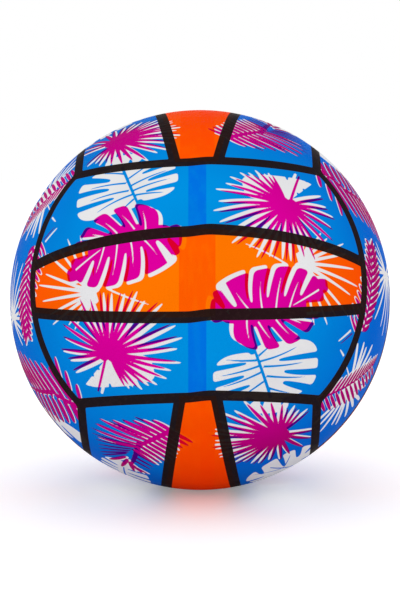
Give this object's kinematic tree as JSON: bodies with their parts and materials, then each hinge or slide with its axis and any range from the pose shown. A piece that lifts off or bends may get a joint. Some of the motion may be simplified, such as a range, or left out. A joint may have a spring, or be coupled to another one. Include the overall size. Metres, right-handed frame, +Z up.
{
  "type": "beach ball",
  "caption": "Hollow air-filled vinyl play ball: a moulded round skin with a flush push-in stopper seated in a soft valve that is bonded inside the skin.",
  "frame": {"origin": "centre of the ball", "axes": "+Z up, +Y along the valve's axis and out of the ball at the back, +X to the right seen from the front; the ball touches the floor at its lowest point, on -Z"},
  "size_m": [0.216, 0.216, 0.216],
  "materials": {
    "printed_vinyl": "semi-gloss blue vinyl, printed with orange strips, black bands and a tropical leaf pattern",
    "seat_vinyl": "soft satin white vinyl",
    "stopper_vinyl": "satin white vinyl"
  },
  "bodies": {
    "ball": {"ball_skin": "printed_vinyl", "valve_seat": "seat_vinyl"},
    "stopper": {"valve_stopper": "stopper_vinyl"}
  },
  "joints": [
    {"name": "stopper_pull", "type": "slide", "parent": "ball", "child": "stopper", "axis": [0, 1, 0], "range_m": [0, 0.02]}
  ]
}
